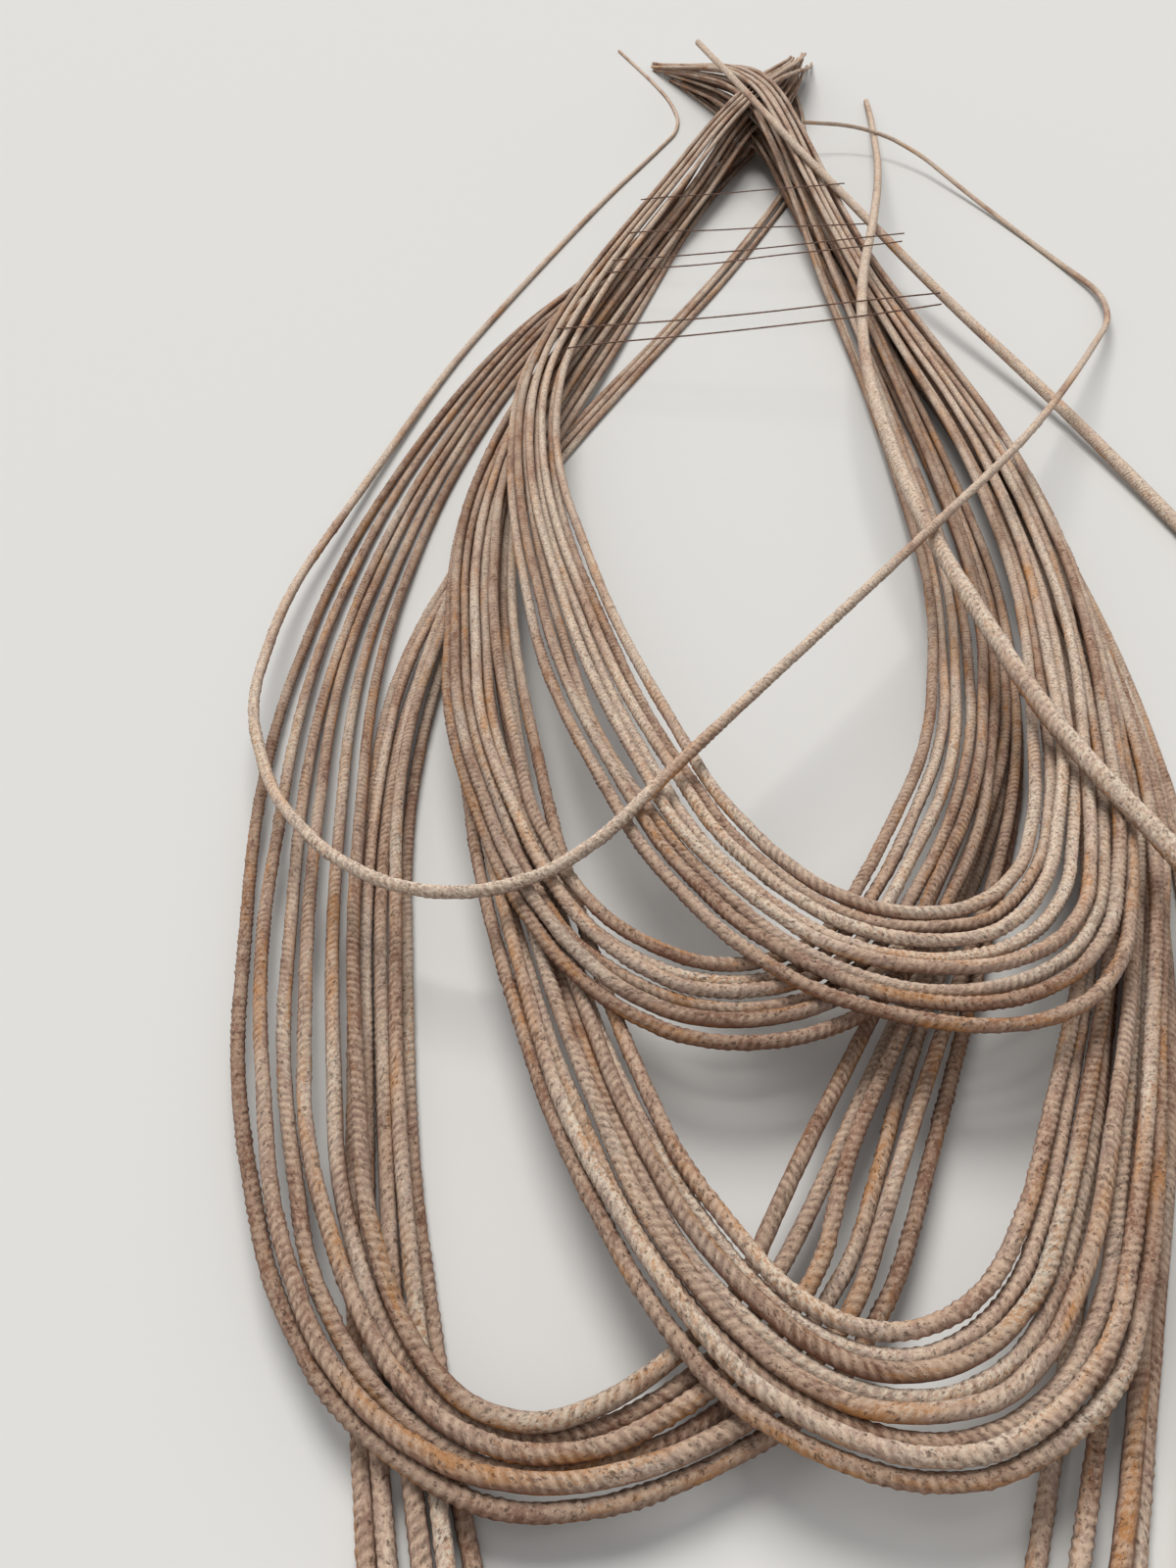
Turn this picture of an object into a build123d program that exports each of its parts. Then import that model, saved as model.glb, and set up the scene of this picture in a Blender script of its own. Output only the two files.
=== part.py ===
from build123d import *
import math
import os
import random

import numpy as np

# A coil of ribbed reinforcing bar. Each bar is folded once into a long hairpin, the bends lie
# at the near end and the legs narrow, cross and run on to their free ends at the far end.
# Millimetres. The guides are plan positions: x to the right, y away from the bends.

# Stock
bar_diameter = 12.0
bar_length = 12000.0
loose_bar_length = 11000.0
thick_bar_diameter = 20.0
thick_bar_length = 12000.0
wire_diameter = 3.0
rib_gap = 0.9  # room that the ribs hold open between two bars' cores
wire_gap = 0.5  # between a wire and what it lies on

# How the bars lie
wander = 3.5  # how far a bar strays sideways from its place in the ribbon
end_stagger = 130.0  # how far a bar's ends are out of line with its neighbours' ends
longest_run = 520.0  # straight run between two bends of a bar
wire_run = 60.0
sharpest_turn = math.radians(17)  # at one bend of a bar
least_turn = math.radians(0.1)  # a bar that turns less at a corner runs straight on past it
corner_share = 0.45  # share of a run that an arc takes up at each end
sample_step = 6.0
block_length = 60  # samples in a stretch that is tested for nearness at once
crossing_lead = 0.25  # of a bar's length: what is further along it is its other leg

# What steel does under its own weight
youngs_modulus = 200000.0  # newton per square millimetre
spring_share = 0.2  # of a straight bar's stiffness that is left in one bent by hand
steel_weight = 7.85e-6 * 9.81  # newton per cubic millimetre
contact_stiffness = (10.0, 100.0, 1000.0)  # newton per millimetre, from soft to hard
slack = 1e-6
most_steps = 60
free_steps = 10  # after these each step is halved, so that contacts stop coming and going
longest_step = 50.0
settled = 0.005

# Guides: x, y and the ribbon's width from its first bar's centre to its last one's
LOWEST_LEFT_STREAM = [
    (905, 6500, 20), (880, 5950, 20), (850, 5450, 20), (795, 4920, 20), (735, 4480, 20),
    (640, 4020, 22), (500, 3550, 26), (320, 2985, 28), (200, 2640, 28), (110, 2400, 28),
    (25, 2160, 28), (-55, 1930, 28), (-125, 1720, 28), (-190, 1492, 28), (-228, 1300, 26),
    (-243, 1105, 24), (-227, 900, 22), (-201, 725, 22), (-172, 520, 24), (-148, 400, 28),
    (-127, 300, 32), (-103, 190, 34), (-60, 75, 36), (8, 8, 38), (90, -25, 40),
    (172, -12, 42), (248, 48, 44), (305, 140, 46), (346, 235, 46), (385, 330, 46),
    (430, 430, 44), (482, 540, 40), (532, 670, 36), (580, 800, 32), (616, 930, 28),
    (645, 1080, 28), (668, 1300, 28), (690, 1600, 28), (698, 1990, 28), (680, 2400, 28),
    (662, 2900, 28), (645, 3400, 28), (632, 3940, 28), (600, 4600, 28), (560, 5100, 28),
    (505, 5600, 28), (440, 6100, 28), (385, 6500, 28),
]
LOWEST_RIGHT_STREAM = [
    (1010, 6500, 20), (930, 6000, 20), (830, 5500, 22), (715, 5030, 24), (575, 4560, 26),
    (430, 4100, 26), (294, 3597, 28), (168, 3017, 28), (66, 2557, 28), (0, 2259, 28),
    (-60, 1990, 28), (-110, 1760, 28), (-160, 1500, 28), (-195, 1300, 26), (-215, 1105, 24),
    (-202, 900, 22), (-178, 725, 22), (-147, 520, 24), (-119, 400, 28), (-95, 300, 32),
    (-68, 200, 34), (-27, 108, 36), (30, 52, 38), (92, 25, 40), (152, 40, 42), (203, 90, 44),
    (252, 175, 46), (300, 270, 46), (344, 365, 46), (391, 463, 44), (440, 572, 40),
    (490, 700, 36), (545, 835, 32), (586, 965, 28), (614, 1100, 28), (640, 1300, 28),
    (658, 1600, 28), (662, 1990, 28), (648, 2400, 28), (628, 2900, 28), (614, 3400, 28),
    (600, 3940, 28), (572, 4600, 28), (530, 5100, 28), (468, 5600, 28), (395, 6100, 28),
    (335, 6500, 28),
]
OUTER_LEFT = [
    (985, 6500, 80), (905, 6000, 75), (810, 5500, 70), (705, 5040, 65), (575, 4580, 60),
    (355, 3930, 60), (205, 3420, 62), (80, 3100, 66), (-30, 2819, 72), (-125, 2564, 78),
    (-178, 2332, 84), (-230, 2075, 88), (-268, 1874, 92), (-298, 1650, 95), (-318, 1430, 100),
    (-322, 1200, 108), (-305, 1002, 112), (-285, 850, 106), (-266, 719, 98), (-245, 611, 92),
    (-220, 519, 88), (-188, 440, 80), (-150, 375, 66), (-102, 328, 52), (-48, 306, 46),
    (8, 311, 50), (62, 332, 62), (112, 365, 74), (150, 402, 84), (178, 445, 88),
    (204, 513, 88), (248, 603, 82), (312, 720, 66), (377, 836, 50), (420, 915, 42),
    (458, 1000, 38), (500, 1130, 38), (542, 1350, 40), (572, 1640, 40), (590, 2000, 42),
    (600, 2500, 45), (598, 3000, 48), (590, 3500, 50), (580, 4000, 52), (566, 4600, 58),
    (528, 5100, 64), (470, 5600, 70), (405, 6100, 76), (350, 6500, 80),
]
FRONT_LOOP = [
    (960, 6500, 110), (880, 6000, 104), (785, 5500, 98), (690, 5050, 90), (572, 4600, 84),
    (415, 4050, 76), (270, 3495, 70), (115, 2985, 66), (35, 2630, 62), (-38, 2310, 62),
    (-100, 2050, 62), (-140, 1800, 62), (-152, 1560, 64), (-143, 1340, 70), (-122, 1118, 78),
    (-95, 939, 78), (-66, 830, 78), (-40, 720, 78), (-20, 640, 76), (0, 570, 74),
    (28, 495, 72), (62, 432, 74), (106, 375, 78), (160, 338, 82), (216, 331, 88),
    (264, 347, 90), (306, 383, 90), (345, 440, 86), (383, 510, 80), (418, 590, 76),
    (458, 683, 70), (510, 790, 66), (562, 930, 62), (605, 1120, 60), (635, 1350, 60),
    (655, 1640, 60), (660, 2000, 60), (645, 2500, 60), (628, 3000, 62), (612, 3500, 64),
    (600, 4000, 68), (580, 4600, 76), (548, 5100, 86), (492, 5600, 96), (425, 6100, 104),
    (370, 6500, 110),
]
MIDDLE_LOOP = [
    (930, 6500, 80), (855, 6000, 76), (768, 5500, 72), (680, 5060, 66), (570, 4630, 60),
    (410, 4080, 54), (262, 3510, 50), (108, 3010, 48), (28, 2650, 48), (-45, 2330, 48),
    (-112, 2060, 50), (-152, 1820, 50), (-167, 1580, 52), (-160, 1350, 58), (-138, 1118, 62),
    (-108, 950, 60), (-80, 860, 58), (-48, 782, 56), (-12, 717, 58), (36, 666, 68),
    (86, 642, 78), (142, 641, 80), (200, 664, 80), (250, 714, 78), (294, 792, 76),
    (340, 865, 76), (378, 945, 74), (412, 1030, 72), (446, 1140, 70), (490, 1350, 68),
    (524, 1640, 64), (546, 2000, 60), (562, 2500, 56), (570, 3000, 52), (573, 3500, 50),
    (572, 4000, 52), (558, 4600, 60), (520, 5100, 66), (462, 5600, 72), (395, 6100, 78),
    (340, 6500, 80),
]
TOP_LOOP = [
    (1000, 6500, 116), (915, 6000, 110), (820, 5500, 104), (715, 5060, 96), (588, 4640, 86),
    (356, 3940, 74), (200, 3400, 72), (50, 2900, 78), (-28, 2520, 76), (-74, 2245, 70),
    (-98, 1990, 66), (-84, 1640, 72), (-38, 1330, 86), (8, 1088, 108), (62, 900, 104),
    (108, 800, 104), (156, 733, 106), (208, 688, 112), (266, 667, 122), (324, 668, 128),
    (376, 690, 122), (420, 736, 112), (452, 800, 98), (478, 875, 90), (510, 965, 86),
    (548, 1085, 84), (592, 1290, 84), (636, 1600, 86), (660, 1990, 84), (644, 2350, 80),
    (624, 2700, 76), (608, 3200, 74), (600, 3700, 76), (592, 4200, 80), (574, 4650, 86),
    (536, 5100, 94), (478, 5600, 104), (408, 6100, 112), (352, 6500, 118),
]
LOOSE_LOOP = [
    (730, 4518), (902, 4533), (1045, 4317), (1120, 3843), (1161, 3407), (1178, 3110), (1185, 2900),
    (1168, 2741), (1098, 2550), (1004, 2370), (889, 2140), (716, 1802), (596, 1603), (502, 1455),
    (430, 1350), (353, 1250), (287, 1169), (220, 1087), (150, 998), (82, 896), (11, 805),
    (-66, 752), (-159, 757), (-245, 818), (-326, 934), (-377, 1070), (-400, 1198), (-406, 1339),
    (-396, 1459), (-380, 1616), (-331, 1988), (-255, 2487), (-163, 2884), (61, 3843), (323, 4856),
    (345, 5200), (340, 5500), (315, 5800), (270, 6200), (220, 6600), (170, 7000),
]
THICK_BAR = [
    (372, 4680), (448, 4276), (545, 3697), (649, 3221), (718, 2880), (780, 2531), (836, 2220),
    (879, 1951), (897, 1661), (904, 1450), (908, 1100), (912, 700), (915, 300), (918, -100),
    (918, -400), (905, -560), (865, -690), (815, -755), (760, -772), (705, -755), (650, -690),
    (608, -560), (592, -400), (592, -100), (590, 200), (580, 500), (560, 690), (532, 789),
    (500, 872), (472, 992), (460, 1093), (450, 1190), (440, 1290), (434, 1401), (432, 1534),
    (442, 1751), (460, 1978), (483, 2154), (530, 2405), (670, 2987), (832, 3737), (962, 4450),
    (1095, 5219), (1160, 5700), (1210, 6200),
]
TIE_WIRES = [
    [(135, 3290), (205, 3300), (330, 3292), (450, 3296), (560, 3288), (650, 3284)],
    [(95, 3010), (165, 3020), (300, 3010), (430, 3016), (560, 3004), (655, 2998)],
    [(55, 2800), (130, 2796), (270, 2788), (420, 2782), (560, 2774), (690, 2760)],
    [(40, 2715), (120, 2722), (260, 2706), (410, 2712), (560, 2694), (670, 2688)],
    [(-60, 2330), (20, 2326), (180, 2312), (340, 2302), (500, 2296), (655, 2282)],
    [(-40, 2225), (40, 2232), (190, 2222), (350, 2214), (500, 2206), (640, 2212)],
]

# Name, number of bars and guide, from the floor up
BUNDLES = [
    ("lowest_hairpins", [(3, LOWEST_LEFT_STREAM), (3, LOWEST_RIGHT_STREAM)]),
    ("outer_left_hairpins", [(6, OUTER_LEFT)]),
    ("front_loop_hairpins", [(8, FRONT_LOOP)]),
    ("middle_loop_hairpins", [(6, MIDDLE_LOOP)]),
    ("top_loop_hairpins", [(8, TOP_LOOP)]),
]


def unit(vectors):
    return vectors / np.linalg.norm(vectors, axis=-1, keepdims=True)


def fair_curve(points, step=10.0):
    """Points about a step apart on the smooth curve through the given plan points."""
    points = np.asarray(points, float)
    ends = np.vstack([2 * points[0] - points[1], points, 2 * points[-1] - points[-2]])
    curve = []
    for a, b, c, d in zip(ends, ends[1:], ends[2:], ends[3:]):
        share = np.linspace(0, 1, max(2, int(math.dist(b, c) / step)), endpoint=False)[:, None]
        curve.append(
            b
            + 0.5 * share * (c - a)
            + share**2 * (a - 2.5 * b + 2 * c - 0.5 * d)
            + share**3 * (1.5 * (b - c) + 0.5 * (d - a))
        )
    return np.vstack(curve + [points[-1:]])


def running_mean(values, width):
    padded = np.pad(values, width, mode="edge")
    return np.convolve(padded, np.ones(2 * width + 1) / (2 * width + 1), "valid")


def run_on(curve, missing, front_share, step=10.0):
    """The curve, carried on straight where it is too short for a bar."""
    shares = (front_share, 1 - front_share)
    front, back = (np.arange(step, share * missing, step)[:, None] for share in shares)
    return np.vstack([
        (curve[0] + front * unit(curve[0] - curve[1]))[::-1],
        curve,
        curve[-1] + back * unit(curve[-1] - curve[-2]),
    ])


def corner_points(curve, length, run, front_share=0.5, shift=0.0):
    """A bar's corners, cut to length: close together where it bends, far apart where it is straight."""
    missing = length + 2 * abs(shift) - np.linalg.norm(np.diff(curve, axis=0), axis=1).sum()
    if 0 < missing < math.inf:
        curve = run_on(curve, missing, front_share)
    steps = np.linalg.norm(np.diff(curve, axis=0), axis=1)
    reach = np.concatenate([[0], np.cumsum(steps)])
    heading = np.unwrap(np.arctan2(*np.diff(curve, axis=0).T[::-1]))
    turning = np.abs(np.gradient(running_mean(heading, 3), reach[:-1]))
    crowding = running_mean(np.maximum(1 / run, running_mean(turning, 3) / sharpest_turn), 12)
    spare = max(0.0, reach[-1] - length)
    start = max(0.0, spare * front_share + shift)
    finish = min(reach[-1], start + length)
    count = np.interp([start, finish], reach[:-1], np.cumsum(crowding * steps))
    whole = max(3, math.ceil(count[1] - count[0]))
    stations = np.interp(np.linspace(*count, whole + 1), np.cumsum(crowding * steps), reach[:-1])
    stations[0], stations[-1] = start, finish
    return np.column_stack([np.interp(stations, reach, curve[:, axis]) for axis in (0, 1)])


def rounded(plan):
    """Spots along the path with its corners rounded, and each spot's share of every corner's height."""
    runs = np.linalg.norm(np.diff(plan, axis=0), axis=1)
    along = unit(np.diff(plan, axis=0))
    pick = np.eye(len(plan))
    rise = (pick[1:] - pick[:-1]) / runs[:, None]
    cut = np.zeros(len(plan))
    cut[1:-1] = corner_share * np.minimum(runs[:-1], runs[1:])
    spots, shares = [], []
    for i, run in enumerate(runs):
        straight = np.arange(cut[i], run - cut[i + 1], sample_step)[:, None]
        spots.append(plan[i] + straight * along[i])
        shares.append(pick[i] + straight * rise[i])
        if i + 1 == len(runs):
            break
        turn = math.acos(np.clip(along[i] @ along[i + 1], -1, 1))
        radius = cut[i + 1] / math.tan(turn / 2)
        sweep_angle = np.arange(0, turn, sample_step / radius)[:, None]
        side = (along[i + 1] - math.cos(turn) * along[i]) / math.sin(turn)
        lift = (rise[i + 1] - math.cos(turn) * rise[i]) / math.sin(turn)
        ahead, across = radius * np.sin(sweep_angle), radius * (1 - np.cos(sweep_angle))
        spots.append(plan[i + 1] - cut[i + 1] * along[i] + ahead * along[i] + across * side)
        shares.append(pick[i + 1] - cut[i + 1] * rise[i] + ahead * rise[i] + across * lift)
    spots.append(plan[-1:])
    shares.append(pick[-1:])
    return np.vstack(spots), np.vstack(shares)


def blocks_of(spots):
    """Consecutive stretches of a path with the box that each one lies in."""
    cuts = list(range(0, len(spots) - 1, block_length))
    stretches = [spots[i : i + block_length + 1] for i in cuts]
    low = np.array([s.min(axis=0) for s in stretches])
    high = np.array([s.max(axis=0) for s in stretches])
    return cuts, low, high


def near_pairs(spots, others, reach):
    """Where two paths pass closer in plan than reach: spot, other path's segment, place on it, distance."""
    cuts, low, high = blocks_of(spots)
    other_cuts, other_low, other_high = blocks_of(others)
    apart = np.maximum(low[:, None] - other_high, other_low - high[:, None]).max(axis=2)
    found = [np.zeros((0, 4))]
    for m, n in zip(*np.nonzero(apart < reach)):
        i, j = cuts[m], other_cuts[n]
        mine, theirs = spots[i : i + block_length], others[j : j + block_length + 1]
        edge = np.diff(theirs, axis=0)
        offset = mine[:, None] - theirs[:-1]
        place = np.clip((offset * edge).sum(axis=2) / (edge**2).sum(axis=1), 0, 1)
        gap = np.linalg.norm(offset - place[..., None] * edge, axis=2)
        a, b = np.nonzero(gap < reach)
        found.append(np.column_stack([a + i, b + j, place[a, b], gap[a, b]]))
    return np.vstack(found)


def contacts_between(paths, diameter):
    """Where bars of one bundle pass over each other: (upper bar, lower bar, their shares, least rise)."""
    reach = diameter + rib_gap
    for a, (spots, shares) in enumerate(paths):
        for b, (other_spots, other_shares) in enumerate(paths[: a + 1]):
            pairs = near_pairs(spots, other_spots, reach)
            mine, theirs = pairs[:, 0].astype(int), pairs[:, 1].astype(int)
            rise = np.sqrt(reach**2 - pairs[:, 3] ** 2)
            place = pairs[:, 2:3]
            there = other_shares[theirs] * (1 - place) + other_shares[theirs + 1] * place
            lead = mine / len(spots) - theirs / len(other_spots)
            # Second legs lie over first legs, and along one leg a later bar lies over an earlier one
            above = (lead > crossing_lead) | ((np.abs(lead) <= crossing_lead) & (a != b))
            below = (lead < -crossing_lead) & (a != b)
            yield a, b, shares[mine[above]], there[above], rise[above]
            yield b, a, there[below], shares[mine[below]], rise[below]


def contacts_with_laid(paths, diameter, laid, gap):
    """What each bar of a bundle lies on: the floor, and everything that was laid before it."""
    for a, (spots, shares) in enumerate(paths):
        floor = np.full(len(spots), diameter / 2)
        for other_spots, other_heights, other_diameter in laid:
            reach = (diameter + other_diameter) / 2 + gap
            pairs = near_pairs(spots, other_spots, reach)
            mine, theirs = pairs[:, 0].astype(int), pairs[:, 1].astype(int)
            below = other_heights[theirs] + pairs[:, 2] * np.diff(other_heights)[theirs]
            np.maximum.at(floor, mine, below + np.sqrt(reach**2 - pairs[:, 3] ** 2))
        yield a, a, shares, np.zeros_like(shares), floor


def settle(plans, diameter, laid, gap=rib_gap):
    """Corner heights of bars that sink under their own weight, as beams, onto what lies below them."""
    paths = [rounded(plan) for plan in plans]
    contacts = list(contacts_between(paths, diameter)) + list(contacts_with_laid(paths, diameter, laid, gap))
    ends = np.cumsum([0] + [len(plan) for plan in plans])
    own = [slice(start, end) for start, end in zip(ends, ends[1:])]
    stiffness, weight = np.zeros((ends[-1], ends[-1])), np.zeros(ends[-1])
    for plan, part in zip(plans, own):
        runs = np.linalg.norm(np.diff(plan, axis=0), axis=1)
        tributary = (np.append(runs, 0) + np.append(0, runs)) / 2
        pick = np.eye(len(plan))
        rise = (pick[1:] - pick[:-1]) / runs[:, None]
        bend = (rise[1:] - rise[:-1]) / np.sqrt(tributary[1:-1, None])
        stiffness[part, part] = spring_share * youngs_modulus * math.pi / 64 * diameter**4 * bend.T @ bend
        weight[part] = steel_weight * math.pi / 4 * diameter**2 * tributary
    heights = np.full(ends[-1], max(least.max() for *_, least in contacts if len(least)) + diameter)
    for contact in contact_stiffness:
        for step in range(most_steps):
            system, target = stiffness + slack * np.eye(ends[-1]), slack * diameter - weight
            for a, b, upper, lower, least in contacts:
                short = upper @ heights[own[a]] - lower @ heights[own[b]] < least
                up, down, rise = upper[short], lower[short], contact * least[short]
                system[own[a], own[a]] += contact * up.T @ up
                target[own[a]] += up.T @ rise
                system[own[b], own[b]] += contact * down.T @ down
                target[own[b]] -= down.T @ rise
                system[own[a], own[b]] -= contact * up.T @ down
                system[own[b], own[a]] -= contact * down.T @ up
            change = np.linalg.solve(system, target) - heights
            most = 1.0 if step < free_steps else 0.5
            heights = heights + change * min(most, longest_step / max(np.abs(change).max(), 1e-9))
            if np.abs(change).max() < settled:
                break
    for (spots, shares), part in zip(paths, own):
        laid.append((spots, shares @ heights[part], diameter))
    return [np.column_stack([plan, heights[part]]) for plan, part in zip(plans, own)]


def ribbon(guide, count, length, draw):
    """Plan corners of the bars that lie side by side along a guide, the ones beneath first."""
    guide = np.asarray(guide, float)
    along = unit(np.gradient(guide[:, :2], axis=0))
    side = np.column_stack([-along[:, 1], along[:, 0]])
    plans = []
    for lane in range(count):
        place = lane / (count - 1) - 0.5 if count > 1 else 0.0
        stray = np.array([draw.uniform(-wander, wander) for _ in guide])
        offset = place * guide[:, 2] + (stray if count > 1 else 0.0)
        stagger = draw.uniform(-end_stagger, end_stagger)
        curve = fair_curve(guide[:, :2] + offset[:, None] * side)
        plans.append(corner_points(curve, length, longest_run, shift=stagger))
    return plans[::2] + plans[1::2]


def lay_everything():
    """Corners of every bar and wire: a list of (node, diameter, paths), laid from the floor up."""
    draw = random.Random(12)
    laid, nodes = [], []
    for name, streams in BUNDLES:
        plans = [plan for count, guide in streams for plan in ribbon(guide, count, bar_length, draw)]
        nodes.append((name, bar_diameter, settle(plans, bar_diameter, laid)))
    thick = corner_points(fair_curve(THICK_BAR), thick_bar_length, longest_run, front_share=0.0)
    nodes.append(("thick_bar", thick_bar_diameter, settle([thick], thick_bar_diameter, laid)))
    loose = corner_points(fair_curve(LOOSE_LOOP), loose_bar_length, longest_run, front_share=0.0)
    nodes.append(("loose_bar", bar_diameter, settle([loose], bar_diameter, laid)))
    wires = [corner_points(fair_curve(wire), math.inf, wire_run, front_share=0.0) for wire in TIE_WIRES]
    nodes.append(("tie_wires", wire_diameter, settle(wires, wire_diameter, laid, wire_gap)))

    # The origin is under the middle of the whole coil
    spots = np.vstack([spots for spots, _, _ in laid])
    low = min((heights - diameter / 2).min() for _, heights, diameter in laid)
    shift = np.append((spots.min(axis=0) + spots.max(axis=0)) / 2, low)
    return [(name, diameter, [path - shift for path in paths]) for name, diameter, paths in nodes]


def turns_of(path):
    along = unit(np.diff(path, axis=0))
    return np.arccos(np.clip((along[:-1] * along[1:]).sum(axis=1), -1, 1))


def true_corners(path):
    """The path's corners without those where it hardly turns."""
    while len(path) > 2 and turns_of(path).min() < least_turn:
        path = np.delete(path, turns_of(path).argmin() + 1, axis=0)
    return path


def corner_radii(path):
    runs = np.linalg.norm(np.diff(path, axis=0), axis=1)
    return corner_share * np.minimum(runs[:-1], runs[1:]) / np.tan(turns_of(path) / 2)


if __name__ == "__main__":
    os.makedirs("parts", exist_ok=True)
    for name, diameter, paths in lay_everything():
        with BuildPart() as bars:
            for path in map(true_corners, paths):
                with BuildLine() as line:
                    FilletPolyline(*[tuple(corner) for corner in path], radius=list(corner_radii(path)))
                with BuildSketch(Plane(origin=line.line @ 0, z_dir=line.line % 0)):
                    Circle(diameter / 2)
                sweep(path=line.line)
        bars.part.label = name
        export_step(bars.part, f"parts/{name}.step")
        print(name, len(bars.part.solids()), "solids")
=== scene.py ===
"""A coil of folded ribbed bars: their ribs, rust and dust, and the wires that lie across them."""

import math
import random
from functools import cache

import bpy
import numpy as np
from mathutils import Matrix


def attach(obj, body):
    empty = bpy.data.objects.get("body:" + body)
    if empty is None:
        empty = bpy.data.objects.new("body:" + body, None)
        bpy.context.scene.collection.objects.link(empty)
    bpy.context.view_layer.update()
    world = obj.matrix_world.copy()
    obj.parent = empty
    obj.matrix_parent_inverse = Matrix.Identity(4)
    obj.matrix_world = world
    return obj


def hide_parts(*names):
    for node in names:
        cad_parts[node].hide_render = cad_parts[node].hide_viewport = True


bl_info = {
    "name": "Coil of folded ribbed bar",
    "version": (1, 0, 0),
    "blender": (4, 5, 0),
    "location": "View3D > Sidebar > Coil",
    "description": "Dresses the coil's bars with ribs and rust",
    "category": "Object",
}

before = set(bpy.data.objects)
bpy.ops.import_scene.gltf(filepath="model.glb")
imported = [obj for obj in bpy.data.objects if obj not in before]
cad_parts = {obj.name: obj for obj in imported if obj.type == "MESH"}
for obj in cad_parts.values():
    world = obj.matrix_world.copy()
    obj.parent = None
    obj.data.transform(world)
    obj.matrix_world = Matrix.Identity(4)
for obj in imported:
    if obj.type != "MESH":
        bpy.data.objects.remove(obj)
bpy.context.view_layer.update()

# Camera, in the photograph's own terms
photo_height = 1600  # pixels
focal_pixels = 1202.0
camera_pitch = 38.4  # degrees down
camera_spot = (-0.3908, -3.1594, 0.814)  # metres
sensor_height = 36.0  # millimetres
camera_reach = 200.0  # metres

# Floor and light: each sun's name, strength, and its spread, tilt and turn in degrees
floor_half = 40.0  # metres
sky_colour = (0.93, 0.96, 1.0, 1.0)
sky_strength = 0.42
backdrop_strength = 1.06
suns = (("Key", 2.25, 34, 32, 195), ("Fill", 0.3, 90, 55, -40))

# How weathered a group's bars are: dark red-brown at 0, dusty and pale at 1 and above
weathering = {
    "lowest_hairpins": (0.35, 0.85),
    "outer_left_hairpins": (0.0, 0.6),
    "front_loop_hairpins": (0.4, 0.85),
    "middle_loop_hairpins": (0.15, 0.75),
    "top_loop_hairpins": (0.45, 0.95),
    "thick_bar": (1.0, 1.1),
    "loose_bar": (0.95, 1.0),
}
seed_spread = 40.0  # sets each bar's patterns apart from the next one's

# How a bar is turned about its own line
twist_rate = (0.4, 1.1)  # radians per metre
twist_swing = 0.9  # radians either way
seam_up_swing = 0.3  # the same for a bar that lies with a seam up

# Where a bar's line is cut into stretches near to the camera and far from it
stretch_lap = 1  # samples that a stretch is carried past each cut
shortest_stretch = 4  # samples

# How far stretches, the thicker bar and the wires differ from a near stretch of a common bar
far_fewer_sides = 2
thick_more_sides = 6
thick_seam = 2  # times the seam height that its diameter alone would give
wire_step = 0.008  # metres
wire_sides = 8
wire_pitting = 0.0002  # metres

# How ribs, seams and pits stand on a bar
least_rib = 1e-6  # a bar with lower ones is plain
rib_fade = 0.6  # power by which a rib thins out towards the seams
rib_sink = 0.42  # share of a rib's height that the skin is sunk by, about what crust and ribs add
seam_sharpness = 14.0  # power by which a seam falls off to its sides
pitting_swing = 4.0  # brings the noise's narrow range up to about one either way

# The rust, with a painted highlight and painted shade: how much of each layer shows where it is thickest,
# and what changes it
bar_difference = 0.24  # how much a bar's own tone moves it from rust to weathered
ochre_near_floor = 0.85
ochre_lost_higher = 0.45
ochre_lost_on_top = 0.3
worn_cover = 0.6
dust_cover = 0.95
mud_cover = 0.75
crest_highlight_cover = 0.5
pit_cover = 0.7
valley_shade = 0.48
underside_shade = 0.5
darkest_bar, palest_bar = 0.82, 1.18  # brightness
pit_depth = 0.6  # share of the relief's height
relief_height = 0.0011  # metres

# The rest of the sizes, up to the paths, are in millimetres and are those of the solids

# Stock
bar_diameter = 12.0
bar_length = 12000.0
loose_bar_length = 11000.0
thick_bar_diameter = 20.0
thick_bar_length = 12000.0
wire_diameter = 3.0
rib_gap = 0.9  # room that the ribs hold open between two bars' cores
wire_gap = 0.5  # between a wire and what it lies on

# How the bars lie
wander = 3.5  # how far a bar strays sideways from its place in the ribbon
end_stagger = 130.0  # how far a bar's ends are out of line with its neighbours' ends
longest_run = 520.0  # straight run between two bends of a bar
wire_run = 60.0
sharpest_turn = math.radians(17)  # at one bend of a bar
corner_share = 0.45  # share of a run that an arc takes up at each end
sample_step = 6.0
block_length = 60  # samples in a stretch that is tested for nearness at once
crossing_lead = 0.25  # of a bar's length: what is further along it is its other leg

# What steel does under its own weight
youngs_modulus = 200000.0  # newton per square millimetre
spring_share = 0.2  # of a straight bar's stiffness that is left in one bent by hand
steel_weight = 7.85e-6 * 9.81  # newton per cubic millimetre
contact_stiffness = (10.0, 100.0, 1000.0)  # newton per millimetre, from soft to hard
slack = 1e-6
most_steps = 60
free_steps = 10  # after these each step is halved, so that contacts stop coming and going
longest_step = 50.0
settled = 0.005

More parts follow.
